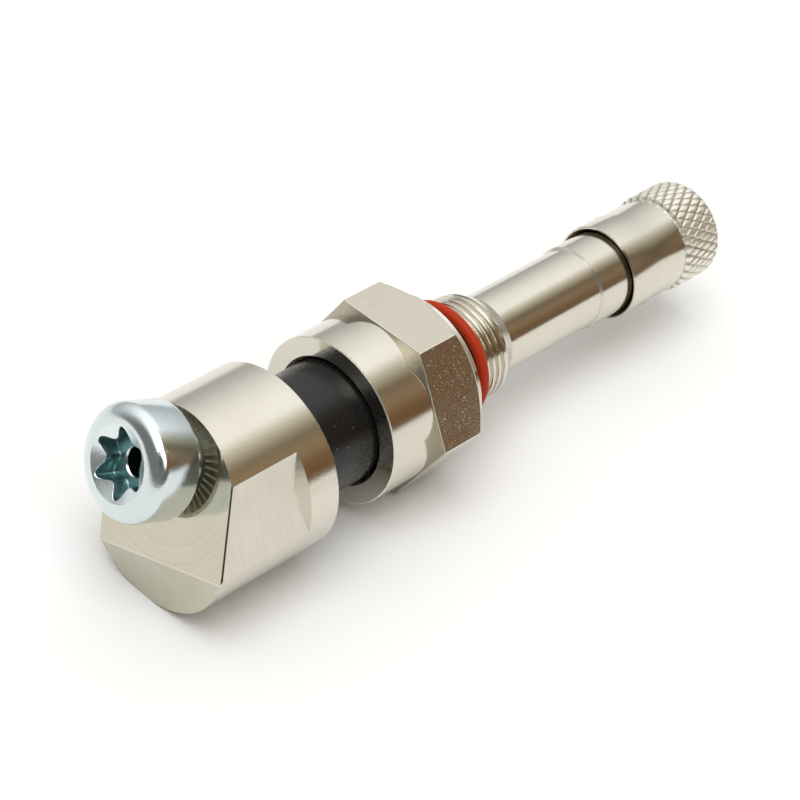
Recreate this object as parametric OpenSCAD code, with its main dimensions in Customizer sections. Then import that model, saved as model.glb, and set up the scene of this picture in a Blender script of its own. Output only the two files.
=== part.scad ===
// Clamp-in tyre valve with a screw seat for a wheel sensor, lying on its side.
// +X runs along the stem towards the cap, and the origin is where the stem leaves the foot.

/* [Foot] */
// Diameter of the foot that stays inside the wheel
foot_d = 17; // [16:0.1:20]
// Length of the foot along the stem's axis
foot_len = 13.4; // [12:0.1:18]
// Tilt of the sensor face and its screw from the stem's axis
face_tilt = 19.5; // [15:0.5:25]
// Drop of the sensor face's lower edge below the stem's axis
face_drop = 4; // [2:0.1:6]
// Distance across the two wrench flats
flats_w = 15.3; // [14:0.1:15.9]
// Round stretch of foot left behind the wrench flats
flats_back = 3.4; // [1.5:0.1:5]
// Length of the round shoulder that slopes up from each flat
flats_run = 0.65; // [0.2:0.05:1]
// Chamfer round the foot's back edge
foot_chamfer = 0.25; // [0.1:0.05:0.6]
// Lean of the foot about the stem's axis as the valve lies
foot_lean = 20; // [-45:1:45]

/* [Stem] */
// Length of the stem from the foot to its mouth
stem_len = 53.2; // [50:0.1:65]
// Outer diameter of the nut's thread
thread_d = 10; // [9.4:0.1:10.4]
// Stretch of thread past the middle of the red ring
thread_past_ring = 3.4; // [2.5:0.1:6]
// Length of the cone from the thread down to the stem
run_down = 1.9; // [1:0.1:3]
// Diameter of the plain stem
stem_d = 7.8; // [7.2:0.1:8]
// Diameter of the land in front of the cap
land_d = 8.2; // [8.1:0.05:8.3]
// Length of the land
land_len = 6.4; // [4:0.1:8]
// Outer diameter of the cap's thread on the stem's mouth
mouth_d = 7.7; // [7.4:0.1:7.9]
// Length of the cap's thread
mouth_len = 7.8; // [6:0.1:9]
// Diameter of the air way through the stem
air_d = 3; // [2:0.1:3.4]

/* [Rim seal] */
// Diameter of the rubber sleeve, for the hole in the rim
seal_d = 11.5; // [11.2:0.1:12.4]
// Space between the foot and the nut, for the rim
rim_gap = 7.1; // [5:0.1:9]
// Length of the sleeve inside the nut's mouth
seal_tuck = 2; // [1:0.1:2.5]

/* [Clamp nut] */
// Thickness of the thrust washer inside the nut
washer_t = 1; // [0.6:0.1:1.4]
// Diameter of the nut's round collar
collar_d = 15.7; // [14.4:0.1:15.9]
// Length of the collar
collar_len = 5.1; // [4:0.1:7]
// Distance across the nut's flats
hex_af = 16; // [16:0.1:19]
// Length of the hexagon
hex_len = 5.9; // [4.5:0.1:8]
// Diameter of the round boss behind the hexagon, where the end chamfer stops
boss_d = 15; // [13:0.1:15.6]
// Length of the boss
boss_len = 0.45; // [0.2:0.05:1]
// Angle of the hexagon's end chamfer
hex_chamfer = 40; // [20:1:45]
// Bevel round the collar's front
collar_bevel = 0.1; // [0.05:0.05:0.4]
// Bevel on the nut's other edges
nut_bevel = 0.3; // [0.1:0.05:0.5]

/* [Red ring] */
// Outer diameter of the ring in its groove
ring_od = 11.4; // [10.9:0.05:11.6]
// Diameter of the ring's section
ring_section = 1; // [0.8:0.05:1.4]
// Distance from the nut to the middle of the ring
ring_off = 2.75; // [2.5:0.05:4]

/* [Cap] */
// Length of the cap
cap_len = 13; // [11.5:0.1:15]
// Diameter of the skirt at the cap's open end
skirt_d = 9.35; // [9.2:0.05:10]
// Diameter of the waist between skirt and grip
waist_d = 9.1; // [8.9:0.05:9.3]
// Diameter over the grip's knurl
grip_d = 9.75; // [9.4:0.05:11]
// Length of the grip
grip_len = 5.2; // [4:0.1:7]
// Thickness of the cap's end wall
cap_end = 2.1; // [1.4:0.1:3]
// Rounding of the cap's outer end
cap_round = 0.9; // [0.3:0.1:1.2]
// Thickness of the rubber disc inside the cap
gasket_t = 0.8; // [0.5:0.1:1.2]

/* [Sensor screw] */
// Thread diameter of the screw
screw_d = 6; // [5:0.1:6.4]
// Diameter of the screw's head
head_d = 10; // [9.4:0.1:11]
// Height of the head
head_h = 4.5; // [3.8:0.05:5.5]
// Rounding of the head's outer edge
head_round = 1.15; // [0.6:0.05:1.7]
// Gap left under the head for the sensor's bracket
head_gap = 1.05; // [0.6:0.05:2]
// Length of the screw under its head
shank_len = 8; // [5:0.1:8.5]
// Point-to-point size of the six-lobe recess
recess_d = 6.2; // [5:0.1:6.4]
// Depth of the recess
recess_depth = 2.1; // [1.5:0.1:3.4]
// Diameter of the air hole through the screw
vent_d = 2.6; // [1.6:0.1:3]
// Number of locking ribs under the head
rib_count = 40; // [20:1:48]
// Height of each locking rib
rib_h = 0.1; // [0.05:0.05:0.2]
// Distance past the foot at which the screw's axis crosses the stem's
screw_cross = 1.5; // [1:0.1:3]

/* [Valve core] */
// Thread diameter of the core's plug
core_d = 5.2; // [4.9:0.05:5.4]
// Length of the plug
plug_len = 4.4; // [3.6:0.1:5]
// Depth of the plug below the stem's mouth
plug_sink = 0.6; // [0.2:0.1:1.2]
// Width of the plug's tang, which the core key turns
tang_w = 3; // [2.6:0.1:3.6]
// Outer diameter of the core's barrel
barrel_d = 4; // [3.8:0.05:4.1]
// Length of the barrel
barrel_len = 7.4; // [6.6:0.1:8.5]
// Diameter of the core's pin
pin_d = 1.3; // [1:0.05:1.4]
// Travel of the pin when a gauge presses it
pin_travel = 1.2; // [0.6:0.1:1.6]
// Diameter of the cup that shuts the barrel
cup_d = 3.7; // [3.5:0.05:3.8]
// Diameter of the spring's wire
wire_d = 0.32; // [0.2:0.02:0.4]

/* [Hidden] */
$fn = 96;

// Clearance of threads and sliding fits, and of faces that lie on each other
fit_gap = 0.05;
seat_gap = 0.02;
// Overlap of a cutter past the face that it cuts
over = 1;

// Stations along the stem
nut_x = rim_gap;
hex_x = nut_x + collar_len;
boss_x = hex_x + hex_len;
nut_end_x = boss_x + boss_len;
ring_x = nut_end_x + ring_off;
thread_end_x = ring_x + thread_past_ring;
land_end_x = stem_len - mouth_len;
land_x = land_end_x - land_len;
cap_x = stem_len + seat_gap + gasket_t + seat_gap + cap_end - cap_len;
thread_r = thread_d / 2;
seal_len = rim_gap + seal_tuck;
washer_x = seal_len + seat_gap;
nut_mouth_end_x = washer_x + washer_t + seat_gap;
nut_mouth_r = seal_d / 2 + fit_gap;
nut_bore_r = thread_r + fit_gap;
hex_r = hex_af / 2 / cos(30);
mouth_chamfer = 0.4;
land_step = 0.2;

// Red ring and its groove
ring_mid_r = (ring_od - ring_section) / 2;
groove_r = ring_mid_r - ring_section / 2 - seat_gap;
groove_half = ring_section / 2 + fit_gap;

// Cap
cap_bore_r = mouth_d / 2 + fit_gap;
lip_gap = 0.1;
lip_flare = 0.28;
lip_past_land = 0.3;
lip_r = land_d / 2 + lip_gap;
lip_end_x = land_end_x + lip_past_land;
lip_chamfer = 0.1;
skirt_len = 3.2;
skirt_run = 0.8;
grip_step = 0.25;

// Screw, measured outwards from where its axis crosses the stem's
face_off = foot_len * cos(face_tilt) - face_drop * sin(face_tilt);
seat_off = face_off + screw_cross * cos(face_tilt);
head_off = seat_off + head_gap;
hole_spare = 0.5;
hole_depth = shank_len + hole_spare;
shank_chamfer = 0.5;
recess_chamfer = 0.15;
recess_lead = 0.6;
recess_ring_d = recess_d + 2 * recess_chamfer;
lobe_r = recess_d * 0.11;
flute_r = recess_d * 0.16;

// Valve core, measured along the stem
bore_r = core_d / 2 + fit_gap;
chamber_gap = 0.2;
chamber_r = barrel_d / 2 + chamber_gap;
plug_x = stem_len - plug_sink - plug_len;
barrel_end_x = plug_x - seat_gap;
barrel_x = barrel_end_x - barrel_len;
seat_drop = 1.2;
seat_x = plug_x - seat_drop;
seat_len = 1.6;
seal_trim = 0.1;
guide_len = 1.6;
spring_room = 0.85;
spring_bore_r = pin_d / 2 + spring_room;
guide_gap = 0.25;
guide_r = pin_d / 2 + guide_gap;
plug_hole_gap = 0.35;
plug_hole_r = pin_d / 2 + plug_hole_gap;
tang_h = 1.9;
collar_t = 0.4;
collar_gap = 0.2;
collar_drop = 0.5;
collar_end_x = plug_x - collar_drop;
cup_wall = 0.3;
cup_seal_t = 0.6;
cup_floor = 0.5;
cup_rim_drop = 0.3;
cup_seal_end_x = barrel_x - seat_gap;
cup_seal_x = cup_seal_end_x - cup_seal_t;
cup_x = cup_seal_x - seat_gap - cup_floor;
rivet_t = 0.5;
rivet_lip = 0.25;
pin_x = cup_x - seat_gap - rivet_t;
pin_sink = 0.3;
pin_end_x = stem_len - pin_sink;
chamber_spare = 0.5;
chamber_x = pin_x - pin_travel - chamber_spare;
spring_x = barrel_x + guide_len + seat_gap;
spring_end_x = collar_end_x - collar_t - seat_gap;
spring_turns = 6;
spring_steps = 14;
wire_sides = 8;

// Solid of revolution about the stem's axis, from points of [radius, station]
module turned(profile) {
  rotate([0, 90, 0])
    rotate_extrude()
      polygon(profile);
}

// Plain sleeve about the stem's axis
module sleeve(outer_r, inner_r, from, to) {
  turned([[inner_r, from], [outer_r, from], [outer_r, to], [inner_r, to]]);
}

// Plain rod about the stem's axis
module rod(r, from, to) {
  translate([from, 0, 0])
    rotate([0, 90, 0])
      cylinder(r = r, h = to - from);
}

// Places children on the sensor screw's axis, with +Z pointing out of the foot
module on_screw_axis(off) {
  rotate([-foot_lean, 0, 0])
    translate([screw_cross, 0, 0])
      rotate([0, face_tilt - 90, 0])
        translate([0, 0, off])
          children();
}

// Cutter for one wrench flat, which stops at a round shoulder that slopes up to the foot's surface
module flat_cutter() {
  flat_r = flats_w / 2;
  past = over * flats_run / (foot_d / 2 - flat_r);
  difference() {
    translate([-foot_len - over, flat_r, -foot_d / 2 - over])
      cube([foot_len + over - flats_back + past, foot_d / 2 - flat_r + over, foot_d + 2 * over]);
    turned([
      [0, -flats_back - flats_run - past],
      [flat_r - over, -flats_back - flats_run - past],
      [foot_d / 2 + over, -flats_back + past],
      [foot_d / 2 + over, -flats_back + past + over],
      [0, -flats_back + past + over]
    ]);
  }
}

// Foot and stem, turned from one brass bar
module valve_body() {
  color("gainsboro")
    difference() {
      turned([
        [0, -foot_len],
        [foot_d / 2, -foot_len],
        [foot_d / 2, -foot_chamfer],
        [foot_d / 2 - foot_chamfer, 0],
        [thread_r, 0],
        [thread_r, ring_x - groove_half],
        [groove_r, ring_x - groove_half],
        [groove_r, ring_x + groove_half],
        [thread_r, ring_x + groove_half],
        [thread_r, thread_end_x],
        [stem_d / 2, thread_end_x + run_down],
        [stem_d / 2, land_x],
        [land_d / 2, land_x + land_step],
        [land_d / 2, land_end_x - land_step],
        [mouth_d / 2, land_end_x],
        [mouth_d / 2, stem_len - mouth_chamfer],
        [mouth_d / 2 - mouth_chamfer, stem_len],
        [0, stem_len]
      ]);
      on_screw_axis(seat_off)
        translate([-foot_d, -foot_d, 0])
          cube([2 * foot_d, 2 * foot_d, foot_d]);
      for (side = [0, 1])
        rotate([-foot_lean, 0, 0])
          mirror([0, side, 0])
            flat_cutter();
      on_screw_axis(seat_off - hole_depth)
        cylinder(r = screw_d / 2 + fit_gap, h = hole_depth + over);
      rod(air_d / 2, -flats_back, chamber_x);
      turned([
        [0, chamber_x - chamber_r + air_d / 2],
        [air_d / 2, chamber_x - chamber_r + air_d / 2],
        [chamber_r, chamber_x],
        [chamber_r, seat_x - seat_len],
        [bore_r, seat_x],
        [bore_r, stem_len + over],
        [0, stem_len + over]
      ]);
    }
}

// Rubber sleeve that fills the hole in the rim
module rim_seal() {
  soft_edge = 0.3;
  color([0.08, 0.08, 0.08])
    turned([
      [nut_bore_r, seat_gap],
      [seal_d / 2 - soft_edge, seat_gap],
      [seal_d / 2, seat_gap + soft_edge],
      [seal_d / 2, seal_len - soft_edge],
      [seal_d / 2 - soft_edge, seal_len],
      [nut_bore_r, seal_len]
    ]);
}

// Flat washer that lets the nut turn against the rubber
module thrust_washer() {
  color("silver")
    sleeve(seal_d / 2, nut_bore_r, washer_x, washer_x + washer_t);
}

// Nut turned from hexagon bar, with a round collar that takes in the seal
module clamp_nut() {
  chamfer_run = (hex_r - boss_d / 2) * tan(hex_chamfer);
  color("lightgray")
    difference() {
      union() {
        turned([
          [0, nut_x],
          [collar_d / 2 - collar_bevel, nut_x],
          [collar_d / 2, nut_x + collar_bevel],
          [collar_d / 2, hex_x + over],
          [0, hex_x + over]
        ]);
        intersection() {
          rotate([30, 0, 0])
            translate([hex_x, 0, 0])
              rotate([0, 90, 0])
                cylinder(r = hex_r, h = hex_len + boss_len, $fn = 6);
          turned([
            [0, hex_x],
            [hex_r - nut_bevel / 2, hex_x],
            [hex_r + over, hex_x + nut_bevel + over],
            [hex_r + over, boss_x - chamfer_run - over * tan(hex_chamfer)],
            [boss_d / 2, boss_x],
            [boss_d / 2, nut_end_x],
            [0, nut_end_x]
          ]);
        }
      }
      turned([
        [0, nut_x - over],
        [nut_mouth_r + over + nut_bevel, nut_x - over],
        [nut_mouth_r, nut_x + nut_bevel],
        [nut_mouth_r, nut_mouth_end_x],
        [nut_bore_r, nut_mouth_end_x],
        [nut_bore_r, nut_end_x - nut_bevel],
        [nut_bore_r + nut_bevel + over, nut_end_x + over],
        [0, nut_end_x + over]
      ]);
    }
}

// Red rubber ring in the thread's groove, which keeps the nut from running off
module o_ring() {
  color("firebrick")
    rotate([0, 90, 0])
      translate([0, 0, ring_x])
        rotate_extrude()
          translate([ring_mid_r, 0])
            circle(d = ring_section, $fn = 48);
}

// Screw cap with a plain skirt, a slight waist and a round grip
module valve_cap() {
  grip_x = cap_x + cap_len - grip_len;
  end_x = cap_x + cap_len;
  round_steps = 8;
  color("whitesmoke")
    difference() {
      turned(concat(
        [
          [0, cap_x],
          [skirt_d / 2 - lip_chamfer, cap_x],
          [skirt_d / 2, cap_x + lip_chamfer],
          [skirt_d / 2, cap_x + skirt_len],
          [waist_d / 2, cap_x + skirt_len + skirt_run],
          [waist_d / 2, grip_x],
          [grip_d / 2, grip_x + grip_step]
        ],
        [
          for (i = [0:round_steps])
            let (a = 90 * i / round_steps)
              [grip_d / 2 - cap_round + cap_round * cos(a), end_x - cap_round + cap_round * sin(a)]
        ],
        [[0, end_x]]
      ));
      turned([
        [0, cap_x - over],
        [lip_r + lip_flare + over, cap_x - over],
        [lip_r, cap_x + lip_flare],
        [lip_r, lip_end_x],
        [cap_bore_r, lip_end_x + lip_r - cap_bore_r],
        [cap_bore_r, end_x - cap_end],
        [0, end_x - cap_end]
      ]);
    }
}

// Rubber disc that the stem's mouth seals against
module cap_gasket() {
  from = stem_len + seat_gap;
  color([0.12, 0.12, 0.12])
    rod(mouth_d / 2, from, from + gasket_t);
}

// Outline of the six-lobe recess
module six_lobe() {
  difference() {
    union() {
      circle(d = recess_d - 2 * lobe_r, $fn = 48);
      for (i = [0:5])
        rotate(60 * i)
          translate([recess_d / 2 - lobe_r, 0])
            circle(r = lobe_r, $fn = 24);
    }
    for (i = [0:5])
      rotate(60 * i + 30)
        translate([recess_d / 2, 0])
          circle(r = flute_r, $fn = 24);
  }
}

// Hollow screw that holds the sensor and lets the tyre's air into the stem
module sensor_screw() {
  top = head_h;
  ring_r = recess_ring_d / 2;
  round_steps = 8;
  color("lightsteelblue")
    on_screw_axis(head_off)
      difference() {
        union() {
          rotate_extrude()
            polygon(concat(
              [
                [0, -shank_len],
                [screw_d / 2 - shank_chamfer, -shank_len],
                [screw_d / 2, -shank_len + shank_chamfer],
                [screw_d / 2, 0],
                [head_d / 2 - nut_bevel, 0],
                [head_d / 2, nut_bevel]
              ],
              [
                for (i = [0:round_steps])
                  let (a = 90 * i / round_steps)
                    [head_d / 2 - head_round + head_round * cos(a), top - head_round + head_round * sin(a)]
              ],
              [[0, top]]
            ));
          for (i = [0:rib_count - 1])
            rotate(360 * i / rib_count)
              translate([screw_d / 2 + nut_bevel, 0, 0])
                rotate([0, 90, 0])
                  cylinder(r = rib_h, h = (head_d - screw_d) / 2 - 2 * nut_bevel - rib_h, $fn = 4);
        }
        translate([0, 0, top - recess_depth])
          linear_extrude(height = recess_depth + over)
            six_lobe();
        translate([0, 0, top - recess_lead])
          cylinder(r1 = recess_d / 2 - flute_r, r2 = ring_r, h = recess_lead + seat_gap);
        translate([0, 0, -shank_len - over])
          cylinder(d = vent_d, h = shank_len + top + over);
      }
}

// Threaded plug of the valve core, with a tang for the key
module core_plug() {
  end_x = plug_x + plug_len;
  color("goldenrod")
    difference() {
      rod(core_d / 2, plug_x, end_x);
      rod(plug_hole_r, plug_x - over, end_x + over);
      for (side = [0, 1])
        mirror([0, side, 0])
          translate([end_x - tang_h, tang_w / 2, -core_d])
            cube([tang_h + over, core_d, 2 * core_d]);
    }
}

// Barrel of the core, with the spring's bore and the pin's guide
module core_barrel() {
  color("gold")
    turned([
      [guide_r, barrel_x],
      [barrel_d / 2 - cup_wall, barrel_x],
      [barrel_d / 2, barrel_x + cup_wall],
      [barrel_d / 2, barrel_end_x],
      [spring_bore_r, barrel_end_x],
      [spring_bore_r, barrel_x + guide_len],
      [guide_r, barrel_x + guide_len]
    ]);
}

// Tapered ring that seals the barrel in the stem's seat
module core_seal() {
  slope = (bore_r - chamber_r) / seat_len;
  inner_r = barrel_d / 2 + seat_gap;
  color("tomato")
    turned([
      [inner_r, seat_x - seat_len + seal_trim],
      [chamber_r - seat_gap + slope * seal_trim, seat_x - seat_len + seal_trim],
      [bore_r - seat_gap - slope * seal_trim, seat_x - seal_trim],
      [inner_r, seat_x - seal_trim]
    ]);
}

// Pin of the core, with the spring's collar and the riveted end under the cup
module core_pin() {
  collar_r = spring_bore_r - collar_gap;
  tip_round = pin_d / 5;
  color("khaki")
    turned([
      [0, pin_x],
      [pin_d / 2 + rivet_lip, pin_x],
      [pin_d / 2 + rivet_lip, pin_x + rivet_t],
      [pin_d / 2, pin_x + rivet_t],
      [pin_d / 2, collar_end_x - collar_t],
      [collar_r, collar_end_x - collar_t],
      [collar_r, collar_end_x],
      [pin_d / 2, collar_end_x],
      [pin_d / 2, pin_end_x - tip_round],
      [pin_d / 2 - tip_round, pin_end_x],
      [0, pin_end_x]
    ]);
}

// Brass cup that carries the core's shut-off rubber
module core_cup() {
  rim_x = cup_seal_end_x - cup_rim_drop;
  color("darkgoldenrod")
    turned([
      [pin_d / 2 + seat_gap, cup_x],
      [cup_d / 2, cup_x],
      [cup_d / 2, rim_x],
      [cup_d / 2 - cup_wall, rim_x],
      [cup_d / 2 - cup_wall, cup_x + cup_floor],
      [pin_d / 2 + seat_gap, cup_x + cup_floor]
    ]);
}

// Rubber washer in the cup, which shuts the barrel's end
module cup_seal() {
  color([0.1, 0.1, 0.1])
    sleeve(cup_d / 2 - cup_wall - seat_gap, pin_d / 2 + seat_gap, cup_seal_x, cup_seal_end_x);
}

// Point of the spring's skin at step i and side k
function spring_point(i, k) =
  let (
    share = i / (spring_turns * spring_steps),
    turn = 360 * i / spring_steps,
    side = 360 * k / wire_sides,
    mid_r = (pin_d / 2 + spring_bore_r) / 2,
    r = mid_r + wire_d / 2 * cos(side),
    from = spring_x + wire_d / 2,
    to = spring_end_x - wire_d / 2
  )
  [from + (to - from) * share + wire_d / 2 * sin(side), r * cos(turn), r * sin(turn)];

// Coil spring that holds the pin's cup shut
module core_spring() {
  last = spring_turns * spring_steps;
  n = wire_sides;
  color("lightslategray")
    polyhedron(
      points = [for (i = [0:last]) for (k = [0:n - 1]) spring_point(i, k)],
      faces = concat(
        [[for (k = [0:n - 1]) k]],
        [[for (k = [n - 1:-1:0]) last * n + k]],
        [
          for (i = [0:last - 1])
            for (k = [0:n - 1])
              [i * n + k, (i + 1) * n + k, (i + 1) * n + (k + 1) % n, i * n + (k + 1) % n]
        ]
      )
    );
}

valve_body();
rim_seal();
thrust_washer();
clamp_nut();
o_ring();
valve_cap();
cap_gasket();
sensor_screw();
core_plug();
core_barrel();
core_seal();
core_pin();
core_cup();
cup_seal();
core_spring();
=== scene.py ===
import math

import bmesh
import bpy
from mathutils import Matrix, Vector


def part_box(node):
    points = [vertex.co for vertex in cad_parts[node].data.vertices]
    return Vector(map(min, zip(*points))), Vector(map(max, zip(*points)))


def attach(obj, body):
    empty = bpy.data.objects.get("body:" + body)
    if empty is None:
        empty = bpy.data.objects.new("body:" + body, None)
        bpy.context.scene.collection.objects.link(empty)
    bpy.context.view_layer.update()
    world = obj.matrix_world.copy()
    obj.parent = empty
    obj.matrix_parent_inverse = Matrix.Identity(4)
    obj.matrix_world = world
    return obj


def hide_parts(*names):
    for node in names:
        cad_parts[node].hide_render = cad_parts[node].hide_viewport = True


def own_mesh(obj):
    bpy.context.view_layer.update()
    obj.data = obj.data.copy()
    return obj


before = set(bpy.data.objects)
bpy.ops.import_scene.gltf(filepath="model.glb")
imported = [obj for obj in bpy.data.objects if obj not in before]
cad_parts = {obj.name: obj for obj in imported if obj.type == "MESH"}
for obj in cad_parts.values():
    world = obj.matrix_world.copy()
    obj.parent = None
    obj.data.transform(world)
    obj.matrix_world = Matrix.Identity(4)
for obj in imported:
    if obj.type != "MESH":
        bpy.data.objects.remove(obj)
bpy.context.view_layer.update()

# Foot and stem: one bar of brass, turned, then milled to a slanted sensor face and two wrench flats.
# It is nickel plated all over. The clamp nut's thread and the mouth's thread are cut on the stem.
# Lengths are in millimetres until a piece is made.
MM = 0.001
ROUND = 192
body_low, body_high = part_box("valve_body")
foot_back = body_low.x / MM
mouth_x = body_high.x / MM
foot_r = 8.5
foot_chamfer = 0.25
face_tilt = math.radians(19.5)
foot_lean = math.radians(20)
screw_cross = 1.5
face_off = 12.706
flat_half = 7.65
flat_stop, flat_run = -3.4, 0.65
hole_r, hole_depth = 3.05, 8.5
clamp_thread_r = 5.0
clamp_thread_depth = 0.42
clamp_thread_from, clamp_thread_end = 8.5, 24.7
clamp_pitch = 0.75
groove_from, groove_to, groove_r = 20.75, 21.85, 4.68
groove_gap, groove_lead, cone_lead = 0.1, 0.5, 1.2
cone_end = 26.6
stem_r = 3.9
land_from, land_to, land_r = 39.0, 45.4, 4.1
land_step = 0.2
mouth_thread_r = 3.85
mouth_thread_depth = 0.45
mouth_pitch = 0.79375
mouth_bevel, mouth_flare, mouth_runout = 0.1, 0.2, 0.4
mouth_gap, mouth_end_gap = 0.3, 0.05
core_bore_r, core_seat_x, core_taper = 2.65, 47.0, 1.6
chamber_r, chamber_x = 2.2, 37.36
air_r = 1.5


def spun(outline, steps=ROUND):
    """Turns a closed outline of (station, radius) points about the stem's axis into a closed skin."""
    skin = bmesh.new()
    points = [skin.verts.new((x, 0, r)) for x, r in outline]
    edges = [skin.edges.new(pair) for pair in zip(points, points[1:] + points[:1])]
    bmesh.ops.spin(
        skin, geom=points + edges, cent=(0, 0, 0), axis=(1, 0, 0), dvec=(0, 0, 0),
        angle=2 * math.pi, steps=steps, use_merge=True,
    )
    tidy_skin(skin)
    return skin


def tidy_skin(skin):
    """Closes seams and poles and turns every face outwards."""
    bmesh.ops.remove_doubles(skin, verts=skin.verts, dist=0.0005)
    bmesh.ops.dissolve_degenerate(skin, edges=skin.edges, dist=0.0002)
    bmesh.ops.recalc_face_normals(skin, faces=skin.faces)


def cut_thread(skin, crest_r, depth, pitch, start, end, limit=None, steps=96):
    """Adds one helical ridge that stands on the thread's root and runs out at both ends."""
    ridge = bmesh.new()
    turns = (end - start) / pitch
    sink, crest_round = 0.12, 0.02
    fade_lead, fade_len = 0.5, 0.8
    section = [
        (-0.5 * pitch, crest_r - depth - sink),
        (-0.44 * pitch, crest_r - depth),
        (-0.2 * pitch, crest_r - crest_round),
        (-0.16 * pitch, crest_r),
        (0.16 * pitch, crest_r),
        (0.2 * pitch, crest_r - crest_round),
        (0.44 * pitch, crest_r - depth),
        (0.5 * pitch, crest_r - depth - sink),
    ]
    points = [ridge.verts.new((start + x, 0, r)) for x, r in section]
    face = ridge.faces.new(points)
    count = round(turns * steps)
    bmesh.ops.spin(
        ridge, geom=list(face.verts) + list(face.edges) + [face], cent=(0, 0, 0), axis=(1, 0, 0),
        dvec=((end - start) / count, 0, 0), angle=2 * math.pi * turns, steps=count, use_merge=False,
    )
    for v in ridge.verts:
        r = math.hypot(v.co.y, v.co.z)
        along = min(v.co.x - start, end - v.co.x) / pitch
        top = r - depth * (1 - min(1, max(0, along + fade_lead) / fade_len))
        if limit:
            top = min(top, limit(v.co.x))
        v.co.y *= top / r
        v.co.z *= top / r
    tidy_skin(ridge)
    join(skin, ridge)


def join(skin, extra):
    """Puts the second skin into the first."""
    spare = bpy.data.meshes.new("spare")
    extra.to_mesh(spare)
    extra.free()
    skin.from_mesh(spare)
    bpy.data.meshes.remove(spare)


def made_piece(skin, name):
    """Makes an object, in metres, of a skin that is in millimetres."""
    skin.transform(Matrix.Scale(MM, 4))
    mesh = bpy.data.meshes.new(name)
    skin.to_mesh(mesh)
    skin.free()
    piece = bpy.data.objects.new(name, mesh)
    bpy.context.scene.collection.objects.link(piece)
    return piece


def crisp(mesh, degrees=28):
    """Shades the mesh smooth, with sharp edges where faces meet at more than this angle."""
    mesh.shade_smooth()
    mesh.set_sharp_from_angle(angle=math.radians(degrees))


def carved(skin, cutter):
    """Takes the cutter's volume out of a skin and returns the new skin."""
    solid = bpy.data.objects.new("solid", bpy.data.meshes.new("solid"))
    tool = bpy.data.objects.new("tool", bpy.data.meshes.new("tool"))
    for thing, source in ((solid, skin), (tool, cutter)):
        source.to_mesh(thing.data)
        source.free()
        bpy.context.scene.collection.objects.link(thing)
    cut = solid.modifiers.new("cut", "BOOLEAN")
    cut.operation = "DIFFERENCE"
    cut.solver = "EXACT"
    cut.object = tool
    shown = solid.evaluated_get(bpy.context.evaluated_depsgraph_get())
    result = bmesh.new()
    result.from_mesh(shown.to_mesh())
    shown.to_mesh_clear()
    for thing in (solid, tool):
        bpy.data.meshes.remove(thing.data)
    return result


def soften(skin, width, segments, least, chosen, clamp=True):
    """Bevels the chosen edges where faces meet at more than the least angle, in degrees."""
    edges = []
    for e in skin.edges:
        if len(e.link_faces) == 2 and e.calc_face_angle(0) > math.radians(least) and chosen(e):
            edges.append(e)
    bmesh.ops.bevel(
        skin, geom=edges, offset=width, offset_type="OFFSET", affect="EDGES", segments=segments,
        profile=0.5, material=-1, clamp_overlap=clamp,
    )


screw_turn = (
    Matrix.Rotation(-foot_lean, 4, "X")
    @ Matrix.Translation((screw_cross, 0, 0))
    @ Matrix.Rotation(face_tilt - math.pi / 2, 4, "Y")
)
to_screw = screw_turn.inverted()
clamp_root_r = clamp_thread_r - clamp_thread_depth
mouth_root_r = mouth_thread_r - mouth_thread_depth
cone_slope = (clamp_thread_r - stem_r) / (cone_end - clamp_thread_end)
body = spun([
    (foot_back, 0),
    (foot_back, foot_r),
    (-foot_chamfer, foot_r),
    (0, foot_r - foot_chamfer),
    (0, clamp_root_r),
    (groove_from, clamp_root_r),
    (groove_from, groove_r),
    (groove_to, groove_r),
    (groove_to, clamp_root_r),
    (clamp_thread_end + clamp_thread_depth / cone_slope, clamp_root_r),
    (cone_end, stem_r),
    (land_from, stem_r),
    (land_from + land_step, land_r),
    (land_to - land_step, land_r),
    (land_to, mouth_root_r),
    (mouth_x - mouth_bevel, mouth_root_r),
    (mouth_x, mouth_root_r - mouth_bevel),
    (mouth_x, core_bore_r + mouth_flare),
    (mouth_x - mouth_flare, core_bore_r),
    (core_seat_x, core_bore_r),
    (core_seat_x - core_taper, chamber_r),
    (chamber_x, chamber_r),
    (chamber_x - chamber_r + air_r, air_r),
    (flat_stop, air_r),
    (flat_stop, 0),
])
slab_width, slab_depth = 40, 20
slab_place = Matrix.LocRotScale(
    Vector((0, 0, face_off + slab_depth / 2)), None, Vector((slab_width, slab_width, slab_depth)),
)
slab = bmesh.new()
bmesh.ops.create_cube(slab, size=1, matrix=slab_place)
slab.transform(screw_turn)
body = carved(body, slab)
block_len, block_depth, block_height = 16, 4, 20
over = 1
shoulder_slope = flat_run / (foot_r - flat_half)
for side in (1, -1):
    block = bmesh.new()
    bmesh.ops.create_cube(block, size=1, matrix=Matrix.Diagonal((block_len, block_depth, block_height, 1)))
    bmesh.ops.translate(
        block, verts=block.verts,
        vec=(flat_stop + shoulder_slope - block_len / 2, side * (flat_half + block_depth / 2), 0),
    )
    block.transform(Matrix.Rotation(-foot_lean, 4, "X"))
    shoulder = spun([
        (flat_stop - flat_run - shoulder_slope, 0),
        (flat_stop - flat_run - shoulder_slope, flat_half - over),
        (flat_stop + shoulder_slope, foot_r + over),
        (flat_stop + shoulder_slope + over, foot_r + over),
        (flat_stop + shoulder_slope + over, 0),
    ])
    body = carved(body, carved(block, shoulder))
drill_len = 10
drill = bmesh.new()
bmesh.ops.create_cone(
    drill, cap_ends=True, segments=96, radius1=hole_r, radius2=hole_r, depth=drill_len,
    matrix=Matrix.Translation((0, 0, face_off - hole_depth + drill_len / 2)),
)
drill.transform(screw_turn)
body = carved(body, drill)
tidy_skin(body)
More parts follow.
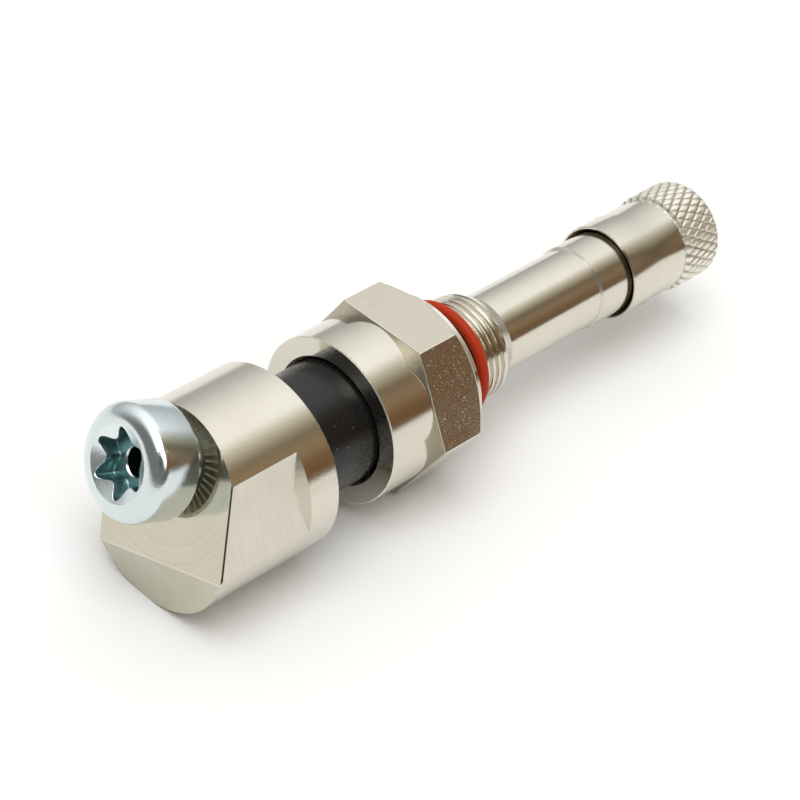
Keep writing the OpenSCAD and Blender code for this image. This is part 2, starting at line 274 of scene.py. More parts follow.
face_normal = screw_turn.to_3x3() @ Vector((0, 0, 1))
flat_normal = Matrix.Rotation(-foot_lean, 3, "X") @ Vector((0, 1, 0))
on_surface = 0.01
stem_clear, air_clear = 0.6, 2.5


def on_face(point, reach=on_surface):
    """Whether a point lies on the slanted face."""
    return abs((point - screw_turn.translation).dot(face_normal) - face_off) < reach


def on_flat(point, reach=on_surface):
    """Whether a point lies on one of the wrench flats."""
    return abs(abs(point.dot(flat_normal)) - flat_half) < reach


def is_face_side(e):
    """Whether an edge lies between the slanted face and a flat."""
    return all(on_face(v.co) and on_flat(v.co) for v in e.verts)


def is_face_end(e):
    """Whether an edge lies between the slanted face and the sawn end."""
    return all(on_face(v.co) and v.co.x < foot_back + on_surface for v in e.verts)


def is_foot_rim(e):
    """Whether an edge lies on the outside of the foot, away from the stem and the air way."""
    return all(v.co.x < -stem_clear and math.hypot(v.co.y, v.co.z) > air_clear for v in e.verts)


def clamp_crest(x):
    """Highest radius of the clamp thread behind the groove, where it runs out on the cone."""
    if x > groove_to:
        return clamp_thread_r - max(0, x - clamp_thread_end) * cone_slope
    return clamp_root_r - groove_gap


def mouth_crest(x):
    """Highest radius of the mouth's thread, which is chamfered at its end."""
    return mouth_thread_r - max(0, x - mouth_x + mouth_runout)


face_bevel, rim_bevel = 0.14, 0.07
soften(body, face_bevel, 1, 20, is_face_side, clamp=False)
soften(body, face_bevel, 2, 15, is_face_end)
soften(body, rim_bevel, 2, 15, is_foot_rim)
cut_thread(
    body, clamp_thread_r, clamp_thread_depth, clamp_pitch, clamp_thread_from, groove_from - groove_gap,
)
cut_thread(
    body, clamp_thread_r, clamp_thread_depth, clamp_pitch,
    groove_to - groove_lead, clamp_thread_end + cone_lead, limit=clamp_crest,
)
cut_thread(
    body, mouth_thread_r, mouth_thread_depth, mouth_pitch,
    land_to + mouth_gap, mouth_x - mouth_end_gap, limit=mouth_crest,
)
foot_and_stem = made_piece(body, "foot_and_stem")
crisp(foot_and_stem.data, 4.5)
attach(foot_and_stem, "valve")
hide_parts("valve_body")


def add(tree, kind, inputs=None, **settings):
    """Adds a node, sets its settings, and sets or links its inputs."""
    made = tree.nodes.new(kind)
    for key, value in settings.items():
        setattr(made, key, value)
    for key, value in (inputs or {}).items():
        if isinstance(value, bpy.types.NodeSocket):
            tree.links.new(value, made.inputs[key])
        else:
            made.inputs[key].default_value = value
    return made


def noise(tree, place, scale, detail, roughness=0.5):
    """The value of a noise texture."""
    inputs = {"Vector": place, "Scale": scale, "Detail": detail, "Roughness": roughness}
    return add(tree, "ShaderNodeTexNoise", inputs).outputs["Fac"]


def ramp(tree, value, low, high, to=(0.0, 1.0)):
    """A value mapped from low and high to 0 and 1, or to the two values given."""
    inputs = {"Value": value, "From Min": low, "From Max": high, "To Min": to[0], "To Max": to[1]}
    return add(tree, "ShaderNodeMapRange", inputs).outputs[0]


def times(tree, a, b):
    """The product of two values."""
    return add(tree, "ShaderNodeMath", {0: a, 1: b}, operation="MULTIPLY").outputs[0]


def blended(tree, share, a, b):
    """A mix of two colours."""
    inputs = {"Factor": share, "A": a, "B": b}
    return add(tree, "ShaderNodeMix", inputs, data_type="RGBA").outputs["Result"]


def new_material(name):
    """A material with a bare Principled shader, and its node tree and shader."""
    material = bpy.data.materials.new(name)
    material.use_nodes = True
    tree = material.node_tree
    tree.nodes.clear()
    shader = add(tree, "ShaderNodeBsdfPrincipled")
    add(tree, "ShaderNodeOutputMaterial", {"Surface": shader.outputs[0]})
    return material, tree, shader


def machined_group():
    """Group: tool marks and grain as one height, the marks as streaks, sparse pits, and dulled patches."""
    group = bpy.data.node_groups.new("machined_skin", "ShaderNodeTree")
    for name in ("Marks", "Place"):
        group.interface.new_socket(name, in_out="INPUT", socket_type="NodeSocketVector")
    for name in ("Height", "Streaks", "Pits", "Dull"):
        group.interface.new_socket(name, in_out="OUTPUT", socket_type="NodeSocketFloat")
    given = add(group, "NodeGroupInput")
    marks, place = given.outputs["Marks"], given.outputs["Place"]
    lines = noise(group, marks, 1.0, 3.0, 0.65)
    grain = noise(group, place, 6500.0, 1.0)
    cells = add(group, "ShaderNodeTexVoronoi", {"Vector": place, "Scale": 3600.0})
    spots = ramp(group, cells.outputs["Distance"], 0.2, 0.08)
    spread = ramp(group, noise(group, place, 700.0, 2.0), 0.46, 0.6)
    add(
        group, "NodeGroupOutput",
        {
            "Height": add(group, "ShaderNodeMath", {0: lines, 1: grain}, operation="ADD").outputs[0],
            "Streaks": ramp(group, lines, 0.35, 0.65),
            "Pits": times(group, spots, spread),
            "Dull": ramp(group, noise(group, place, 150.0, 4.0), 0.35, 0.7),
        },
    )
    return group


machined = machined_group()


def plated_metal(name, colour, dulled, roughness, marks_scale, bump, pitting=0.0, about=None, streaked=0.3):
    """A plated metal. Its tool marks cross the axes where marks_scale is large, or ring the given axis."""
    material, tree, shader = new_material(name)
    place = add(tree, "ShaderNodeTexCoord").outputs["Object"]
    if about:
        local = add(
            tree, "ShaderNodeMapping",
            {"Vector": place, "Rotation": about.to_euler(), "Location": about.translation * MM},
        )
        across = add(
            tree, "ShaderNodeVectorMath", {0: local.outputs[0], 1: (1, 1, 0)}, operation="MULTIPLY",
        )
        reach = add(tree, "ShaderNodeVectorMath", {0: across.outputs[0]}, operation="LENGTH")
        line = add(tree, "ShaderNodeCombineXYZ", {"X": reach.outputs["Value"]})
        marks = add(tree, "ShaderNodeMapping", {"Vector": line.outputs[0], "Scale": marks_scale})
    else:
        marks = add(tree, "ShaderNodeMapping", {"Vector": place, "Scale": marks_scale})
    skin = add(tree, "ShaderNodeGroup", node_tree=machined)
    tree.links.new(marks.outputs[0], skin.inputs["Marks"])
    tree.links.new(place, skin.inputs["Place"])
    worn = add(
        tree, "ShaderNodeMix",
        {"Factor": streaked, "A": skin.outputs["Dull"], "B": skin.outputs["Streaks"]},
    )
    tint = blended(tree, worn.outputs["Result"], colour, dulled)
    rough = ramp(tree, skin.outputs["Dull"], 0.0, 1.0, roughness)
    raised = add(
        tree, "ShaderNodeBump", {"Height": skin.outputs["Height"], "Distance": bump * 0.01 * MM},
    )
    if pitting:
        raised = add(
            tree, "ShaderNodeBump",
            {
                "Height": skin.outputs["Pits"],
                "Strength": pitting,
                "Distance": 0.00003,
                "Normal": raised.outputs[0],
            },
            invert=True,
        )
    tree.links.new(tint, shader.inputs["Base Color"])
    tree.links.new(rough, shader.inputs["Roughness"])
    tree.links.new(raised.outputs[0], shader.inputs["Normal"])
    shader.inputs["Metallic"].default_value = 1.0
    return material


def paint(piece, finishes, choose):
    """Gives a piece its finishes, and each of its faces the one chosen for it."""
    for material in finishes:
        piece.data.materials.append(material)
    for polygon in piece.data.polygons:
        polygon.material_index = finishes.index(choose(polygon))


nickel_light = (0.68, 0.65, 0.57, 1)
nickel_dull = (0.65, 0.615, 0.53, 1)
turned_nickel = plated_metal(
    "turned_nickel", nickel_light, nickel_dull, (0.13, 0.16), (7000, 200, 200), 0.3, 0.1,
)
foot_nickel = plated_metal(
    "foot_nickel", nickel_light, nickel_dull, (0.15, 0.2), (6000, 200, 200), 0.6, 0.15,
)
milled_nickel = plated_metal(
    "milled_nickel", (0.69, 0.66, 0.58, 1), (0.62, 0.585, 0.505, 1), (0.22, 0.28),
    (5000, 300, 300), 0.6, 0.2, streaked=0.7,
)
# The slanted face is faced smooth, and its nickel is painted darker than the rest: painted shade.
faced_shaded_nickel = plated_metal(
    "faced_shaded_nickel", (0.605, 0.57, 0.47, 1), (0.52, 0.485, 0.395, 1), (0.08, 0.11),
    (2600, 0, 0), 0.2, 0.05, about=to_screw, streaked=0.7,
)
# The sawn end is rougher, and it and the flats' shoulders are painted darker than the rest: painted shade.
sawn_shaded_nickel = plated_metal(
    "sawn_shaded_nickel", (0.58, 0.55, 0.455, 1), (0.51, 0.48, 0.385, 1), (0.24, 0.3),
    (2500, 2500, 2500), 0.6, 0.1,
)
# The bevel between the slanted face and the flats is painted near black: a painted line of shade along that
# edge.
painted_shade_edge = plated_metal(
    "painted_shade_edge", (0.04, 0.03, 0.022, 1), (0.14, 0.11, 0.08, 1), (0.4, 0.55),
    (9000, 9000, 9000), 1.0, 0.6,
)
worn_edge = plated_metal(
    "worn_edge", (0.8, 0.77, 0.68, 1), (0.7, 0.665, 0.575, 1), (0.3, 0.38),
    (2500, 2500, 2500), 1.0, 0.8,
)
SQUARE_ON = 0.999
bevel_reach = 0.2


def foot_finish(polygon):
    """The finish of a face of the foot or stem, by where it lies and which way it looks."""
    middle = polygon.center / MM
    if land_from < middle.x < land_from + land_step:
        return milled_nickel
    if -foot_chamfer < middle.x < 0 and polygon.normal.x > 0.5:
        return worn_edge
    if middle.x > -foot_chamfer / 2:
        return turned_nickel
    # The slanted face, the sawn end and the flats' shoulders take finishes with painted shade.
    if polygon.normal.dot(face_normal) > SQUARE_ON:
        return faced_shaded_nickel
    if polygon.normal.x < -SQUARE_ON:
        return sawn_shaded_nickel
    if middle.x > flat_stop - flat_run and polygon.normal.x < -0.5:
        return sawn_shaded_nickel
    if abs(polygon.normal.dot(flat_normal)) > SQUARE_ON:
        return milled_nickel
    # The bevel between the slanted face and a flat takes the near-black painted shade.
    if on_face(middle, bevel_reach):
        return painted_shade_edge if on_flat(middle, bevel_reach) else turned_nickel
    return foot_nickel


paint(
    foot_and_stem,
    (turned_nickel, foot_nickel, milled_nickel, faced_shaded_nickel, sawn_shaded_nickel, painted_shade_edge, worn_edge),
    foot_finish,
)

# Rim seal: a black moulded rubber sleeve, pushed over the stem up to the foot.
# It fills the hole in the wheel's rim, and its end is tucked into the nut.
seal_low, seal_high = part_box("rim_seal")
seal_from, seal_to, seal_r = seal_low.x / MM, seal_high.x / MM, seal_high.z / MM
seal_bore = 5.05
seal_edge = 0.3
seal_sag = 0.06
edge_steps, side_steps = 6, 12
outline = [(seal_from, seal_bore), (seal_from, seal_r - seal_edge)]
for i in range(1, edge_steps + 1):
    a = math.pi / 2 * i / edge_steps
    x = seal_from + seal_edge * (1 - math.cos(a))
    outline.append((x, seal_r - seal_edge + seal_edge * math.sin(a)))
for i in range(1, side_steps):
    t = i / side_steps
    x = seal_from + seal_edge + (seal_to - seal_from - 2 * seal_edge) * t
    outline.append((x, seal_r - seal_sag * math.sin(math.pi * t)))
for i in range(edge_steps + 1):
    a = math.pi / 2 * (1 - i / edge_steps)
    x = seal_to - seal_edge * (1 - math.cos(a))
    outline.append((x, seal_r - seal_edge + seal_edge * math.sin(a)))
outline.append((seal_to, seal_bore))
rim_sleeve = made_piece(spun(outline), "rim_sleeve")
crisp(rim_sleeve.data)
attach(rim_sleeve, "valve")
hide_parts("rim_seal")


def rubber(name, colour, dusty, roughness, dust_share, gloss=0.4):
    """A moulded rubber with a faint skin of bumps and a few specks of dust."""
    material, tree, shader = new_material(name)
    place = add(tree, "ShaderNodeTexCoord").outputs["Object"]
    skin = noise(tree, place, 3200.0, 3.0)
    cells = add(tree, "ShaderNodeTexVoronoi", {"Vector": place, "Scale": 900.0})
    specks = ramp(tree, cells.outputs["Distance"], 0.14, 0.06)
    spread = ramp(tree, noise(tree, place, 260.0, 2.0), 0.52, 0.62)
    dust = times(tree, times(tree, specks, spread), dust_share)
    tint = blended(tree, dust, colour, dusty)
    rough = ramp(tree, skin, 0.3, 0.7, roughness)
    raised = add(tree, "ShaderNodeBump", {"Height": skin, "Strength": 0.05, "Distance": 0.00003})
    tree.links.new(tint, shader.inputs["Base Color"])
    tree.links.new(rough, shader.inputs["Roughness"])
    tree.links.new(raised.outputs[0], shader.inputs["Normal"])
    shader.inputs["Specular IOR Level"].default_value = gloss
    return material


black_rubber = rubber(
    "black_rubber", (0.005, 0.005, 0.005, 1), (0.12, 0.115, 0.11, 1), (0.24, 0.34), 0.8,
)
rim_sleeve.data.materials.append(black_rubber)


# Thrust washer: a plain turned washer of plated brass, loose on the stem inside the nut's mouth.
# It stays as it is drawn, and only takes the plated finish.
def dress(node, material):
    """Gives a CAD node that stays as it is drawn its finish."""
    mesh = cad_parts[node].data
    mesh.materials.clear()
    mesh.materials.append(material)


dress("thrust_washer", turned_nickel)

# Clamp nut: hexagon bar of plated brass with a round collar turned on its front.
# The collar's mouth takes in the end of the seal, and the back corners are chamfered.
nut_low, nut_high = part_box("clamp_nut")
nut_from, nut_to = nut_low.x / MM, nut_high.x / MM
collar_r = 7.85
collar_bevel = 0.1
hex_from = 12.2
hex_half = 8.0
hex_corner = hex_half / math.cos(math.pi / 6)
hex_slope = math.tan(math.radians(40))
blank_r = hex_corner + 0.3
boss_r, boss_from, boss_bevel = 7.5, 18.1, 0.06
nut_mouth_r, nut_mouth_end = 5.8, 10.14
nut_bore_r = 5.05
nut_bevel = 0.3
nut_skin = spun([
    (nut_from, collar_r - collar_bevel),
    (nut_from + collar_bevel, collar_r),
    (hex_from, collar_r),
    (hex_from, blank_r),
    (boss_from - (blank_r - boss_r) * hex_slope, blank_r),
    (boss_from, boss_r),
    (nut_to - boss_bevel, boss_r),
    (nut_to, boss_r - boss_bevel),
    (nut_to, nut_bore_r + nut_bevel),
    (nut_to - nut_bevel, nut_bore_r),
    (nut_mouth_end, nut_bore_r),
    (nut_mouth_end, nut_mouth_r),
    (nut_from + nut_bevel, nut_mouth_r),
    (nut_from, nut_mouth_r + nut_bevel),
])
cutter_wall, cutter_len, cutter_gap = 6, 10, 0.001
hex_cutter = bmesh.new()
bmesh.ops.create_circle(hex_cutter, segments=6, radius=hex_corner)
bmesh.ops.create_circle(hex_cutter, segments=6, radius=hex_corner + cutter_wall)
bmesh.ops.bridge_loops(hex_cutter, edges=list(hex_cutter.edges))
lifted = bmesh.ops.extrude_face_region(hex_cutter, geom=list(hex_cutter.faces))["geom"]
bmesh.ops.translate(
    hex_cutter, verts=[g for g in lifted if isinstance(g, bmesh.types.BMVert)], vec=(0, 0, cutter_len),
)
bmesh.ops.recalc_face_normals(hex_cutter, faces=hex_cutter.faces)
hex_cutter.transform(
    Matrix.Translation((hex_from - cutter_gap, 0, 0)) @ Matrix.Rotation(math.pi / 2, 4, "Y"),
)
nut_skin = carved(nut_skin, hex_cutter)
tidy_skin(nut_skin)


def is_hex_edge(e):
    """Whether an edge lies on the outside of the hexagon."""
    return all(math.hypot(v.co.y, v.co.z) > hex_half - 0.05 for v in e.verts)


soften(nut_skin, rim_bevel, 2, 12, is_hex_edge)
hex_nut = made_piece(nut_skin, "hex_nut")
crisp(hex_nut.data, 5)
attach(hex_nut, "nut")
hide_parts("clamp_nut")
drawn_nickel = plated_metal(
    "drawn_nickel", (0.66, 0.62, 0.53, 1), (0.61, 0.565, 0.47, 1), (0.14, 0.18),
    (9000, 1700, 1700), 0.8, 0.75, streaked=0.7,
)
faced_mirror = plated_metal(
    "faced_mirror", nickel_light, nickel_dull, (0.06, 0.09), (9000, 9000, 9000), 0.1, 0.05,
)
# The front shoulder of the hexagon, beside the collar, is painted dark: painted shade.
shaded_shoulder = plated_metal(
    "shaded_shoulder", (0.52, 0.49, 0.41, 1), (0.44, 0.41, 0.33, 1), (0.3, 0.38),
    (2500, 2500, 2500), 0.8, 0.4,
)


def nut_finish(polygon):
    """The finish of a face of the nut: turned, faced, painted shade on the hexagon's front shoulder, drawn
    on the flats, or worn on the edges.
    """
    x = polygon.center.x
    outward = Vector((0, polygon.center.y, polygon.center.z)).normalized()
    facing = polygon.normal.dot(outward)
    if polygon.normal.x < -SQUARE_ON:
        return faced_mirror if x < (hex_from - 0.1) * MM else shaded_shoulder
    if x < (nut_from + collar_bevel) * MM and facing > 0.5:
        return worn_edge
    if x > hex_from * MM and facing > 0.8 and abs(polygon.normal.x) < 0.1:
        turn = math.degrees(math.atan2(polygon.normal.z, polygon.normal.y))
        off_flat = (turn + 360) % 60 - 30
        return drawn_nickel if abs(off_flat) < 3 else worn_edge
    return turned_nickel


paint(hex_nut, (turned_nickel, drawn_nickel, faced_mirror, worn_edge, shaded_shoulder), nut_finish)

# Red ring: a rubber O-ring that sits in a groove of the clamp thread, behind the nut.
# It keeps the nut from running off the stem.
ring_low, ring_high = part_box("o_ring")
ring_x = (ring_low.x + ring_high.x) / 2 / MM
ring_section = (ring_high.x - ring_low.x) / 2 / MM
ring_mid = ring_high.z / MM - ring_section
section_steps = 40
outline = []
for i in range(section_steps):
    a = 2 * math.pi * i / section_steps
    outline.append((ring_x + ring_section * math.cos(a), ring_mid + ring_section * math.sin(a)))
red_ring = made_piece(spun(outline), "red_ring")
crisp(red_ring.data)
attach(red_ring, "valve")
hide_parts("o_ring")
red_rubber = rubber(
    "red_rubber", (0.37, 0.027, 0.004, 1), (0.4, 0.09, 0.05, 1), (0.42, 0.55), 0.35, gloss=0.16,
)
red_ring.data.materials.append(red_rubber)

# Valve core: a brass plug, barrel, pin and cup with a plastic seal, screwed into the mouth.
# Only its end shows, once the cap is off, so its pieces stay as they are drawn. The steel spring
# is wound again.
plain_brass = plated_metal(
    "plain_brass", (0.72, 0.5, 0.22, 1), (0.6, 0.4, 0.16, 1), (0.24, 0.34), (9000, 200, 200), 0.4,
)
seal_plastic = rubber("seal_plastic", (0.62, 0.05, 0.03, 1), (0.7, 0.3, 0.2, 1), (0.3, 0.4), 0.2)
bright_steel = plated_metal(
    "bright_steel", (0.6, 0.61, 0.62, 1), (0.5, 0.51, 0.52, 1), (0.16, 0.24), (9000, 9000, 9000), 0.2,
)
for node in ("core_plug", "core_barrel", "core_pin", "core_cup"):
    dress(node, plain_brass)
dress("core_seal", seal_plastic)
dress("cup_seal", black_rubber)
spring_low, spring_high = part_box("core_spring")
spring_from, spring_to = spring_low.x / MM, spring_high.x / MM
spring_len = spring_to - spring_from
spring_turns, turn_steps = 6, 32
coil_steps = spring_turns * turn_steps
wire_r, coil_r = 0.16, 1.075
wire = bmesh.new()
bmesh.ops.create_circle(
    wire, cap_ends=True, segments=12, radius=wire_r,
    matrix=Matrix.Translation((spring_from + wire_r, coil_r, 0)),
)
bmesh.ops.spin(
    wire, geom=list(wire.verts) + list(wire.edges) + list(wire.faces), cent=(0, 0, 0), axis=(1, 0, 0),
    dvec=((spring_len - 2 * wire_r) / coil_steps, 0, 0), angle=2 * math.pi * spring_turns,
    steps=coil_steps, use_merge=False,
)
tidy_skin(wire)
coil_spring = made_piece(wire, "coil_spring")
crisp(coil_spring.data, 50)
coil_spring.data.materials.append(bright_steel)
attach(coil_spring, "valve")
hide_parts("core_spring")
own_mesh(coil_spring)

# Cap: turned brass, nickel plated, with a plain skirt, a slight waist and a knurled, rounded grip.
# It screws over the mouth, and a black rubber disc inside seals it.
cap_low, cap_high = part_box("valve_cap")
cap_from, cap_to, grip_r = cap_low.x / MM, cap_high.x / MM, cap_high.z / MM
skirt_r, waist_r = 4.675, 4.55
skirt_to = cap_from + 3.2
waist_from = skirt_to + 0.8
grip_from = cap_to - 5.2
grip_step = 0.25
cap_round = 0.9
lip_r, lip_to = 4.2, 45.7
lip_chamfer, lip_flare = 0.1, 0.28
cap_bore_r = 3.9
cap_floor = cap_to - 2.1
knurl_count = 31
knurl_pitch = 2 * math.pi * grip_r / knurl_count / math.tan(math.radians(30))
knurl_depth = 0.13
knurl_sides, knurl_fade = 12, 0.7
step_rows, grip_rows, round_rows = 4, 50, 10
straight_from, straight_to = grip_from + grip_step, cap_to - cap_round
outline = [
    (cap_from + lip_flare, lip_r),
    (cap_from, lip_r + lip_flare),
    (cap_from, skirt_r - lip_chamfer),
    (cap_from + lip_chamfer, skirt_r),
    (skirt_to, skirt_r),
    (waist_from, waist_r),
    (grip_from - 0.03, waist_r),
    (grip_from, waist_r),
]
for i in range(1, step_rows + 1):
    x = grip_from + grip_step * i / step_rows
    outline.append((x, waist_r + (grip_r - waist_r) * i / step_rows))
for i in range(1, grip_rows + 1):
    outline.append((straight_from + (straight_to - straight_from) * i / grip_rows, grip_r))
for i in range(1, round_rows + 1):
    a = math.pi / 2 * i / round_rows
    outline.append((straight_to + cap_round * math.sin(a), grip_r - cap_round * (1 - math.cos(a))))
outline += [
    (cap_to, 0),
    (cap_floor, 0),
    (cap_floor, cap_bore_r),
    (lip_to + lip_r - cap_bore_r, cap_bore_r),
    (lip_to, lip_r),
]
cap_skin = spun(outline, knurl_sides * knurl_count)
# The groove depth shapes the knurl, and the grip's material also paints shade by it.
sunk = cap_skin.verts.layers.float.new("groove")
for v in cap_skin.verts:
    r = math.hypot(v.co.y, v.co.z)
    if v.co.x < grip_from + 0.01 or r < grip_r - cap_round * knurl_fade:
        continue
    around = math.atan2(v.co.z, v.co.y) / (2 * math.pi) * knurl_count
    along = (v.co.x - straight_from) / knurl_pitch
    groove_a = abs((around + along) % 1 - 0.5) * 2
    groove_b = abs((around - along) % 1 - 0.5) * 2
    v[sunk] = 1 - (1 - groove_a ** 4) * (1 - groove_b ** 4)
    if v.co.x < straight_to:
        scale = max(waist_r, r - knurl_depth * v[sunk]) / r
    else:
        scale = 1 - knurl_depth * v[sunk] / r
    v.co.y *= scale
    v.co.z *= scale
cap_shell = made_piece(cap_skin, "cap_shell")
crisp(cap_shell.data, 12)
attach(cap_shell, "cap")
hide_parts("valve_cap")
# The grip's nickel is painted paler than the rest of the cap: a painted highlight on the knurl's pads.
knurled_lit_shaded_nickel = plated_metal(
    "knurled_lit_shaded_nickel", (0.88, 0.85, 0.76, 1), (0.82, 0.79, 0.7, 1), (0.36, 0.44),
    (4000, 4000, 4000), 0.4, 0.2,
)
# The knurl's grooves are painted dark olive by the groove attribute: painted shade.
tree = knurled_lit_shaded_nickel.node_tree
shader = tree.nodes["Principled BSDF"]
groove_shade_mask = add(tree, "ShaderNodeAttribute", attribute_name="groove")
pad_tint = shader.inputs["Base Color"].links[0].from_socket
groove_shade = blended(tree, groove_shade_mask.outputs["Fac"], pad_tint, (0.38, 0.35, 0.27, 1))
tree.links.new(groove_shade, shader.inputs["Base Color"])
# The cap's bore and the flare of its mouth are painted dark olive: painted shade inside the cap.
shaded_bore = plated_metal(
    "shaded_bore", (0.17, 0.15, 0.1, 1), (0.12, 0.1, 0.065, 1), (0.3, 0.4), (7000, 200, 200), 0.4,
)


def cap_finish(polygon):
    """The finish of a face of the cap: knurled, with a painted highlight and painted shade, on the grip,
    painted shade in the bore, turned elsewhere.
    """
    x = polygon.center.x
    r = math.hypot(polygon.center.y, polygon.center.z)
    if x > grip_from * MM and r > waist_r * MM:
        return knurled_lit_shaded_nickel
    if x < cap_floor * MM and r < (lip_r + lip_flare) * MM:
        return shaded_bore
    return turned_nickel


paint(cap_shell, (turned_nickel, knurled_lit_shaded_nickel, shaded_bore), cap_finish)
dress("cap_gasket", black_rubber)

# Sensor screw: a hollow zinc-plated steel screw with a rounded head and a six-lobe recess.
# Ribs under its head bite into the sensor's bracket, and tyre air passes through its hole.
head_off = face_off + 1.05
head_h, head_r, head_round = 4.5, 5.0, 1.15
head_inset = 0.3
shank_r, shank_len, shank_bevel = 3.0, 8.0, 0.3
neck_len, neck_step = 0.6, 0.2
recess_r, recess_in, recess_depth = 3.1, 2.1, 2.1
recess_floor = head_h - recess_depth
floor_round = 0.12
ring_r, ring_land, ring_dip = 3.25, 0.05, 0.03
lead_in = 0.6
lead_slope = lead_in / (ring_r - recess_in)
crown = head_r - ring_r - ring_land
crown_steps = 12
vent_r = 1.3
screw_thread_depth = 0.5
screw_root_r = shank_r - screw_thread_depth
screw_pitch, thread_lead, thread_stop = 1.0, 0.1, 0.9
LOBES = 6
lobe_power = 1.35
wall_drop = 4


def lobed(a):
    """Radius of the six-lobe outline at this angle."""
    wave = 0.5 + 0.5 * math.cos(LOBES * a)
    return recess_in + (recess_r - recess_in) * wave ** lobe_power


rings = [
    (vent_r, -shank_len),
    (screw_root_r - shank_bevel, -shank_len),
    (screw_root_r, -shank_len + shank_bevel),
    (screw_root_r, -neck_len),
    (shank_r - neck_step, 0),
    (head_r - head_inset, 0),
    (head_r - 0.05, 0.14),
    (head_r, 0.35),
]
for i in range(crown_steps + 1):
    a = math.pi / 2 * i / crown_steps
    rings.append((head_r - crown * (1 - math.cos(a)), head_h - head_round * (1 - math.sin(a))))
rings.append((ring_r, head_h - ring_dip))
lobe_rings = [
    (1.0, None),
    (0.985, None),
    (0.975, recess_floor + floor_round),
    (0.93, recess_floor),
]
inner_rings = [(vent_r + floor_round, recess_floor), (vent_r, recess_floor - floor_round)]
levels = [(r, False, z) for r, z in rings]
levels += [(share, True, z) for share, z in lobe_rings]
levels += [(r, False, z) for r, z in inner_rings]
head_sides = 144
screw_skin = bmesh.new()
bmesh.ops.create_circle(screw_skin, segments=head_sides, radius=1)
loop = list(screw_skin.edges)
start_loop = loop
for number, (size, star, z) in enumerate(levels):
    if number:
        raised = bmesh.ops.extrude_edge_only(screw_skin, edges=loop)["geom"]
        loop = [g for g in raised if isinstance(g, bmesh.types.BMEdge)]
    for v in {v for e in loop for v in e.verts}:
        a = math.atan2(v.co.y, v.co.x)
        r = size * lobed(a) if star else size
        depth = z
        if depth is None:
            depth = head_h - lead_slope * (ring_r - lobed(a)) - (1 - size) * wall_drop
        v.co = (r * math.cos(a), r * math.sin(a), depth)
bmesh.ops.bridge_loops(screw_skin, edges=start_loop + loop)
tidy_skin(screw_skin)
rib_count = 40
rib_h, rib_gap = 0.1, 0.3
rib_from = shank_r + rib_gap
rib_len = head_r - head_inset - rib_h - rib_from
for i in range(rib_count):
    rib = bmesh.new()
    bmesh.ops.create_cone(rib, cap_ends=True, segments=4, radius1=rib_h, radius2=rib_h, depth=rib_len)
    rib.transform(
        Matrix.Rotation(2 * math.pi * i / rib_count, 4, "Z")
        @ Matrix.Translation((rib_from + rib_len / 2, 0, 0))
        @ Matrix.Rotation(math.pi / 2, 4, "Y")
    )
    join(screw_skin, rib)
turned_ridge = bmesh.new()
cut_thread(
    turned_ridge, shank_r, screw_thread_depth, screw_pitch, -shank_len + thread_lead, -thread_stop,
)
turned_ridge.transform(Matrix.Rotation(-math.pi / 2, 4, "Y"))
join(screw_skin, turned_ridge)
screw_skin.transform(screw_turn @ Matrix.Translation((0, 0, head_off)))
vent_screw = made_piece(screw_skin, "vent_screw")
crisp(vent_screw.data)
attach(vent_screw, "screw")
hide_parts("sensor_screw")
blue_zinc = plated_metal(
    "blue_zinc", (0.73, 0.795, 0.8, 1), (0.63, 0.705, 0.72, 1), (0.13, 0.2),
    (3500, 3500, 3500), 0.6, 0.4,
)
# The recess is painted dark teal, darker than the head: painted shade.
shaded_recess_zinc = plated_metal(
    "shaded_recess_zinc", (0.27, 0.4, 0.4, 1), (0.2, 0.31, 0.32, 1), (0.3, 0.4),
    (4000, 4000, 4000), 0.8, 0.3,
)
# The recess's lead-in is painted paler than the head: a painted highlight.
lit_lead_zinc = plated_metal(
    "lit_lead_zinc", (0.8, 0.87, 0.87, 1), (0.7, 0.77, 0.78, 1), (0.24, 0.32),
    (3500, 3500, 3500), 0.8, 0.3,
)
# The head's underside and its ribs are painted paler than the head: painted light under the head.
lit_rib_zinc = plated_metal(
    "lit_rib_zinc", (0.86, 0.87, 0.8, 1), (0.74, 0.75, 0.67, 1), (0.38, 0.46),
    (3500, 3500, 3500), 0.6,
)
recess_wall = 1.4


def screw_finish(polygon):
    """The finish of a face of the screw: painted shade in the recess, painted light on its lead-in and on
    the ribs.
    """
    inside = to_screw @ (polygon.center / MM)
    reach = math.hypot(inside.x, inside.y)
    above_floor = inside.z - head_off - recess_floor
    if reach < ring_r and above_floor > -0.05:
        return shaded_recess_zinc if above_floor < recess_wall else lit_lead_zinc
    if reach > shank_r + 0.05 and inside.z < head_off + 0.02:
        return lit_rib_zinc
    return blue_zinc


paint(vent_screw, (blue_zinc, shaded_recess_zinc, lit_lead_zinc, lit_rib_zinc), screw_finish)

# Floor: a wide plain sheet of pale paper under the valve.
# The metal mirrors it as an even white from below.
floor_skin = bmesh.new()
bmesh.ops.create_grid(floor_skin, x_segments=8, y_segments=8, size=2000)
bmesh.ops.translate(floor_skin, verts=floor_skin.verts, vec=(0, 0, body_low.z / MM))
floor = made_piece(floor_skin, "floor")
paper, tree, shader = new_material("pale_paper")
shader.inputs["Base Color"].default_value = (0.8, 0.8, 0.79, 1)
shader.inputs["Roughness"].default_value = 0.9
floor.data.materials.append(paper)

